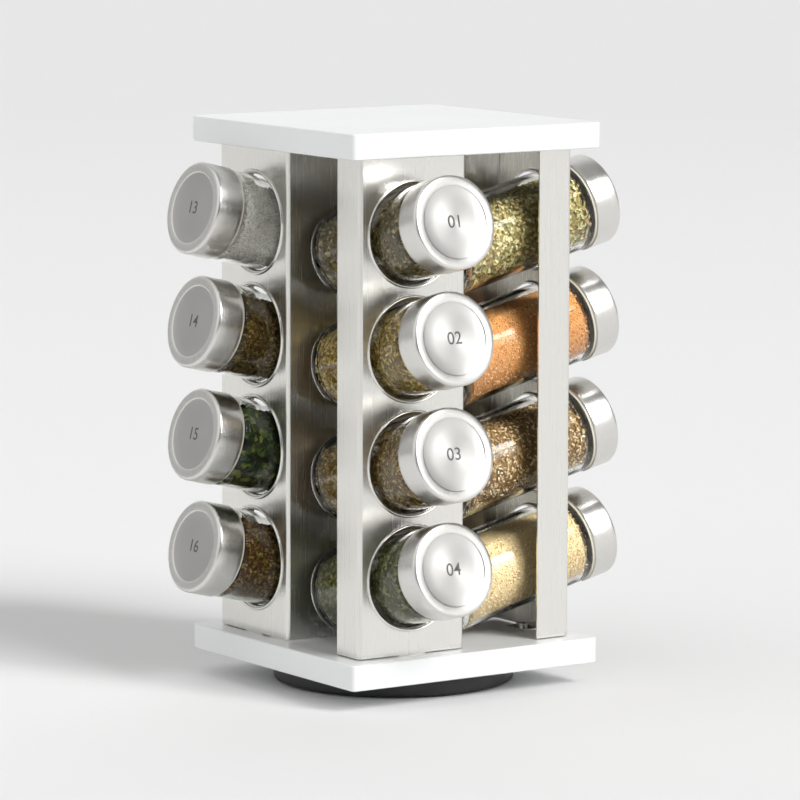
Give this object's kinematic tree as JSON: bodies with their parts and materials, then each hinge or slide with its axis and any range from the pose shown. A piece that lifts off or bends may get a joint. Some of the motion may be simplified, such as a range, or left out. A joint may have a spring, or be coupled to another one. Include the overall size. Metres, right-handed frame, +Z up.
{
  "type": "spice carousel",
  "caption": "Revolving spice rack: square white plates, folded steel columns in a pinwheel with round holes, tilted glass jars with steel screw lids, ball-bearing base.",
  "frame": {"origin": "centre of the footprint on the table top, at the bottom of the base's rubber pads", "axes": "+Z up; -Y is where the front column's jars point, +X where the right column's jars point"},
  "size_m": [0.215, 0.215, 0.2914],
  "materials": {
    "base_plastic": "matte black moulded plastic, fine grain",
    "pad_rubber": "soft dark non-slip rubber",
    "cage_plastic": "natural translucent nylon",
    "ball_steel": "polished bearing steel",
    "disc_steel": "zinc plated pressed steel",
    "plate_white": "smooth white satin lacquer on board",
    "screw_steel": "nickel plated screw",
    "column_steel": "stainless sheet brushed lengthwise",
    "jar_glass": "clear glass, faint green where thick",
    "lid_steel": "stainless cap, turned brushing on its face, brushed round its side",
    "spice_basil": "loose dried leaf",
    "spice_rosemary": "loose dried leaf",
    "spice_oregano": "loose dried leaf",
    "spice_parsley": "loose dried leaf",
    "spice_savory": "loose dried leaf",
    "spice_paprika": "fine orange-red powder",
    "spice_cumin": "brown seeds",
    "spice_ginger": "fine tan powder",
    "spice_peppercorn": "whole black berries",
    "spice_chilli": "red flakes",
    "spice_fennel": "pale green seeds",
    "spice_turmeric": "fine yellow powder",
    "spice_salt": "coarse white crystals",
    "spice_marjoram": "loose dried leaf",
    "spice_chives": "loose dried leaf",
    "spice_herb_mix": "loose dried leaf"
  },
  "bodies": {
    "base": {"base_dish": "base_plastic", "base_pads": "pad_rubber"},
    "ball_ring": {"ball_cage": "cage_plastic", "bearing_balls": "ball_steel"},
    "carousel": {"turntable_disc": "disc_steel", "bottom_plate": "plate_white", "top_plate": "plate_white", "assembly_screws": "screw_steel", "column_front": "column_steel", "column_right": "column_steel", "column_back": "column_steel", "column_left": "column_steel"},
    "basil_jar": {"jar_basil": "jar_glass", "spice_basil": "spice_basil"},
    "basil_lid": {"lid_basil": "lid_steel"},
    "rosemary_jar": {"jar_rosemary": "jar_glass", "spice_rosemary": "spice_rosemary"},
    "rosemary_lid": {"lid_rosemary": "lid_steel"},
    "oregano_jar": {"jar_oregano": "jar_glass", "spice_oregano": "spice_oregano"},
    "oregano_lid": {"lid_oregano": "lid_steel"},
    "parsley_jar": {"jar_parsley": "jar_glass", "spice_parsley": "spice_parsley"},
    "parsley_lid": {"lid_parsley": "lid_steel"},
    "savory_jar": {"jar_savory": "jar_glass", "spice_savory": "spice_savory"},
    "savory_lid": {"lid_savory": "lid_steel"},
    "paprika_jar": {"jar_paprika": "jar_glass", "spice_paprika": "spice_paprika"},
    "paprika_lid": {"lid_paprika": "lid_steel"},
    "cumin_jar": {"jar_cumin": "jar_glass", "spice_cumin": "spice_cumin"},
    "cumin_lid": {"lid_cumin": "lid_steel"},
    "ginger_jar": {"jar_ginger": "jar_glass", "spice_ginger": "spice_ginger"},
    "ginger_lid": {"lid_ginger": "lid_steel"},
    "peppercorn_jar": {"jar_peppercorn": "jar_glass", "spice_peppercorn": "spice_peppercorn"},
    "peppercorn_lid": {"lid_peppercorn": "lid_steel"},
    "chilli_jar": {"jar_chilli": "jar_glass", "spice_chilli": "spice_chilli"},
    "chilli_lid": {"lid_chilli": "lid_steel"},
    "fennel_jar": {"jar_fennel": "jar_glass", "spice_fennel": "spice_fennel"},
    "fennel_lid": {"lid_fennel": "lid_steel"},
    "turmeric_jar": {"jar_turmeric": "jar_glass", "spice_turmeric": "spice_turmeric"},
    "turmeric_lid": {"lid_turmeric": "lid_steel"},
    "salt_jar": {"jar_salt": "jar_glass", "spice_salt": "spice_salt"},
    "salt_lid": {"lid_salt": "lid_steel"},
    "marjoram_jar": {"jar_marjoram": "jar_glass", "spice_marjoram": "spice_marjoram"},
    "marjoram_lid": {"lid_marjoram": "lid_steel"},
    "chives_jar": {"jar_chives": "jar_glass", "spice_chives": "spice_chives"},
    "chives_lid": {"lid_chives": "lid_steel"},
    "herb_mix_jar": {"jar_herb_mix": "jar_glass", "spice_herb_mix": "spice_herb_mix"},
    "herb_mix_lid": {"lid_herb_mix": "lid_steel"}
  },
  "joints": [
    {"name": "turntable_spin", "type": "hinge", "parent": "base", "child": "carousel", "pos_m": [0, 0, 0.0115], "axis": [0, 0, 1], "continuous": true},
    {"name": "ball_ring_spin", "type": "hinge", "parent": "base", "child": "ball_ring", "pos_m": [0, 0, 0.0057], "axis": [0, 0, 1], "continuous": true},
    {"name": "basil_jar_slide", "type": "slide", "parent": "carousel", "child": "basil_jar", "axis": [0, -0.9703, 0.2419], "range_m": [0, 0.12]},
    {"name": "rosemary_jar_slide", "type": "slide", "parent": "carousel", "child": "rosemary_jar", "axis": [0, -0.9703, 0.2419], "range_m": [0, 0.12]},
    {"name": "oregano_jar_slide", "type": "slide", "parent": "carousel", "child": "oregano_jar", "axis": [0, -0.9703, 0.2419], "range_m": [0, 0.12]},
    {"name": "parsley_jar_slide", "type": "slide", "parent": "carousel", "child": "parsley_jar", "axis": [0, -0.9703, 0.2419], "range_m": [0, 0.12]},
    {"name": "savory_jar_slide", "type": "slide", "parent": "carousel", "child": "savory_jar", "axis": [0.9703, 0, 0.2419], "range_m": [0, 0.12]},
    {"name": "paprika_jar_slide", "type": "slide", "parent": "carousel", "child": "paprika_jar", "axis": [0.9703, 0, 0.2419], "range_m": [0, 0.12]},
    {"name": "cumin_jar_slide", "type": "slide", "parent": "carousel", "child": "cumin_jar", "axis": [0.9703, 0, 0.2419], "range_m": [0, 0.12]},
    {"name": "ginger_jar_slide", "type": "slide", "parent": "carousel", "child": "ginger_jar", "axis": [0.9703, 0, 0.2419], "range_m": [0, 0.12]},
    {"name": "peppercorn_jar_slide", "type": "slide", "parent": "carousel", "child": "peppercorn_jar", "axis": [0, 0.9703, 0.2419], "range_m": [0, 0.12]},
    {"name": "chilli_jar_slide", "type": "slide", "parent": "carousel", "child": "chilli_jar", "axis": [0, 0.9703, 0.2419], "range_m": [0, 0.12]},
    {"name": "fennel_jar_slide", "type": "slide", "parent": "carousel", "child": "fennel_jar", "axis": [0, 0.9703, 0.2419], "range_m": [0, 0.12]},
    {"name": "turmeric_jar_slide", "type": "slide", "parent": "carousel", "child": "turmeric_jar", "axis": [0, 0.9703, 0.2419], "range_m": [0, 0.12]},
    {"name": "salt_jar_slide", "type": "slide", "parent": "carousel", "child": "salt_jar", "axis": [-0.9703, 0, 0.2419], "range_m": [0, 0.12]},
    {"name": "marjoram_jar_slide", "type": "slide", "parent": "carousel", "child": "marjoram_jar", "axis": [-0.9703, 0, 0.2419], "range_m": [0, 0.12]},
    {"name": "chives_jar_slide", "type": "slide", "parent": "carousel", "child": "chives_jar", "axis": [-0.9703, 0, 0.2419], "range_m": [0, 0.12]},
    {"name": "herb_mix_jar_slide", "type": "slide", "parent": "carousel", "child": "herb_mix_jar", "axis": [-0.9703, 0, 0.2419], "range_m": [0, 0.12]},
    {"name": "basil_lid_lift", "type": "slide", "parent": "basil_jar", "child": "basil_lid", "axis": [0, -0.9703, 0.2419], "range_m": [0, 0.03]},
    {"name": "rosemary_lid_lift", "type": "slide", "parent": "rosemary_jar", "child": "rosemary_lid", "axis": [0, -0.9703, 0.2419], "range_m": [0, 0.03]},
    {"name": "oregano_lid_lift", "type": "slide", "parent": "oregano_jar", "child": "oregano_lid", "axis": [0, -0.9703, 0.2419], "range_m": [0, 0.03]},
    {"name": "parsley_lid_lift", "type": "slide", "parent": "parsley_jar", "child": "parsley_lid", "axis": [0, -0.9703, 0.2419], "range_m": [0, 0.03]},
    {"name": "savory_lid_lift", "type": "slide", "parent": "savory_jar", "child": "savory_lid", "axis": [0.9703, 0, 0.2419], "range_m": [0, 0.03]},
    {"name": "paprika_lid_lift", "type": "slide", "parent": "paprika_jar", "child": "paprika_lid", "axis": [0.9703, 0, 0.2419], "range_m": [0, 0.03]},
    {"name": "cumin_lid_lift", "type": "slide", "parent": "cumin_jar", "child": "cumin_lid", "axis": [0.9703, 0, 0.2419], "range_m": [0, 0.03]},
    {"name": "ginger_lid_lift", "type": "slide", "parent": "ginger_jar", "child": "ginger_lid", "axis": [0.9703, 0, 0.2419], "range_m": [0, 0.03]},
    {"name": "peppercorn_lid_lift", "type": "slide", "parent": "peppercorn_jar", "child": "peppercorn_lid", "axis": [0, 0.9703, 0.2419], "range_m": [0, 0.03]},
    {"name": "chilli_lid_lift", "type": "slide", "parent": "chilli_jar", "child": "chilli_lid", "axis": [0, 0.9703, 0.2419], "range_m": [0, 0.03]},
    {"name": "fennel_lid_lift", "type": "slide", "parent": "fennel_jar", "child": "fennel_lid", "axis": [0, 0.9703, 0.2419], "range_m": [0, 0.03]},
    {"name": "turmeric_lid_lift", "type": "slide", "parent": "turmeric_jar", "child": "turmeric_lid", "axis": [0, 0.9703, 0.2419], "range_m": [0, 0.03]},
    {"name": "salt_lid_lift", "type": "slide", "parent": "salt_jar", "child": "salt_lid", "axis": [-0.9703, 0, 0.2419], "range_m": [0, 0.03]},
    {"name": "marjoram_lid_lift", "type": "slide", "parent": "marjoram_jar", "child": "marjoram_lid", "axis": [-0.9703, 0, 0.2419], "range_m": [0, 0.03]},
    {"name": "chives_lid_lift", "type": "slide", "parent": "chives_jar", "child": "chives_lid", "axis": [-0.9703, 0, 0.2419], "range_m": [0, 0.03]},
    {"name": "herb_mix_lid_lift", "type": "slide", "parent": "herb_mix_jar", "child": "herb_mix_lid", "axis": [-0.9703, 0, 0.2419], "range_m": [0, 0.03]}
  ],
  "couplings": [
    {"joint": "ball_ring_spin", "follows": "turntable_spin", "ratio": 0.5}
  ]
}
